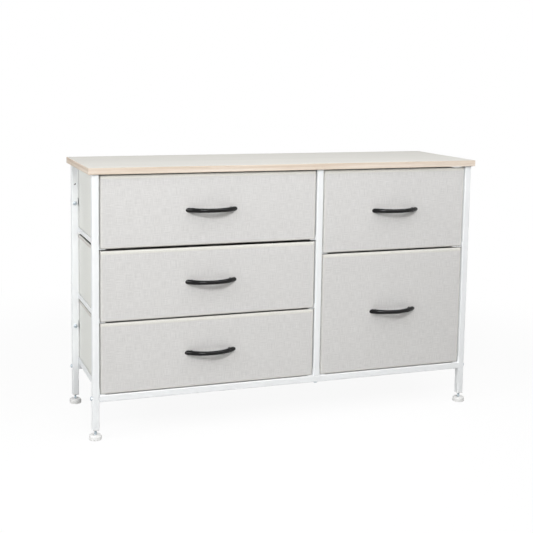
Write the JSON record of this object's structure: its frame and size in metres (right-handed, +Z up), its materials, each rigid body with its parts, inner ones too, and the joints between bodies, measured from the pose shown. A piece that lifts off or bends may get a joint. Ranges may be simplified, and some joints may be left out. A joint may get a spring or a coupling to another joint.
{
  "type": "fabric drawer dresser",
  "caption": "Wide dresser: a wood-look board on a white square-tube frame, with sliding fabric drawers on angle runners, black bow handles and levelling feet.",
  "frame": {"origin": "on the floor, under the middle of the whole outline", "axes": "+X to the right along the dresser's width, +Y to the back, +Z up"},
  "size_m": [1, 0.3194, 0.637],
  "materials": {
    "board_laminate": "pale wood-look laminate with beige edges",
    "frame_paint": "white powder coat",
    "drawer_fabric": "light grey linen-look cloth with a cream binding",
    "panel_fibreboard": "bare fibreboard",
    "handle_gloss": "black gloss",
    "zinc": "zinc plated",
    "foot_plastic": "off-white moulded plastic"
  },
  "bodies": {
    "frame": {"top_board": "board_laminate", "post_front_left": "frame_paint", "post_front_right": "frame_paint", "post_rear_left": "frame_paint", "post_rear_right": "frame_paint", "post_front_centre": "frame_paint", "post_rear_centre": "frame_paint", "beam_front": "frame_paint", "beam_rear": "frame_paint", "top_bar_left": "frame_paint", "top_bar_centre": "frame_paint", "top_bar_right": "frame_paint", "rear_strip_upper": "frame_paint", "rear_strip_lower": "frame_paint", "runner_left_upper_outer": "frame_paint", "runner_left_upper_inner": "frame_paint", "runner_left_middle_outer": "frame_paint", "runner_left_middle_inner": "frame_paint", "runner_left_lower_outer": "frame_paint", "runner_left_lower_inner": "frame_paint", "runner_right_upper_outer": "frame_paint", "runner_right_upper_inner": "frame_paint", "runner_right_lower_outer": "frame_paint", "runner_right_lower_inner": "frame_paint", "leg_plugs": "foot_plastic", "frame_bolts": "zinc", "board_screws": "zinc"},
    "drawer_left_upper": {"left_upper_bin": "drawer_fabric", "left_upper_front_panel": "panel_fibreboard", "left_upper_base_board": "panel_fibreboard", "left_upper_handle": "handle_gloss", "left_upper_handle_screws": "zinc"},
    "drawer_left_middle": {"left_middle_bin": "drawer_fabric", "left_middle_front_panel": "panel_fibreboard", "left_middle_base_board": "panel_fibreboard", "left_middle_handle": "handle_gloss", "left_middle_handle_screws": "zinc"},
    "drawer_left_lower": {"left_lower_bin": "drawer_fabric", "left_lower_front_panel": "panel_fibreboard", "left_lower_base_board": "panel_fibreboard", "left_lower_handle": "handle_gloss", "left_lower_handle_screws": "zinc"},
    "drawer_right_upper": {"right_upper_bin": "drawer_fabric", "right_upper_front_panel": "panel_fibreboard", "right_upper_base_board": "panel_fibreboard", "right_upper_handle": "handle_gloss", "right_upper_handle_screws": "zinc"},
    "drawer_right_lower": {"right_lower_bin": "drawer_fabric", "right_lower_front_panel": "panel_fibreboard", "right_lower_base_board": "panel_fibreboard", "right_lower_handle": "handle_gloss", "right_lower_handle_screws": "zinc"},
    "foot_front_left": {"foot_pad_front_left": "foot_plastic", "foot_stem_front_left": "zinc"},
    "foot_front_right": {"foot_pad_front_right": "foot_plastic", "foot_stem_front_right": "zinc"},
    "foot_rear_left": {"foot_pad_rear_left": "foot_plastic", "foot_stem_rear_left": "zinc"},
    "foot_rear_right": {"foot_pad_rear_right": "foot_plastic", "foot_stem_rear_right": "zinc"}
  },
  "joints": [
    {"name": "left_upper_slide", "type": "slide", "parent": "frame", "child": "drawer_left_upper", "axis": [0, -1, 0], "range_m": [0, 0.22]},
    {"name": "left_middle_slide", "type": "slide", "parent": "frame", "child": "drawer_left_middle", "axis": [0, -1, 0], "range_m": [0, 0.22]},
    {"name": "left_lower_slide", "type": "slide", "parent": "frame", "child": "drawer_left_lower", "axis": [0, -1, 0], "range_m": [0, 0.22]},
    {"name": "right_upper_slide", "type": "slide", "parent": "frame", "child": "drawer_right_upper", "axis": [0, -1, 0], "range_m": [0, 0.22]},
    {"name": "right_lower_slide", "type": "slide", "parent": "frame", "child": "drawer_right_lower", "axis": [0, -1, 0], "range_m": [0, 0.22]},
    {"name": "foot_front_left_screw", "type": "slide", "parent": "frame", "child": "foot_front_left", "axis": [0, 0, -1], "range_m": [-0.0095, 0.015]},
    {"name": "foot_front_right_screw", "type": "slide", "parent": "frame", "child": "foot_front_right", "axis": [0, 0, -1], "range_m": [-0.0095, 0.015]},
    {"name": "foot_rear_left_screw", "type": "slide", "parent": "frame", "child": "foot_rear_left", "axis": [0, 0, -1], "range_m": [-0.0095, 0.015]},
    {"name": "foot_rear_right_screw", "type": "slide", "parent": "frame", "child": "foot_rear_right", "axis": [0, 0, -1], "range_m": [-0.0095, 0.015]}
  ]
}
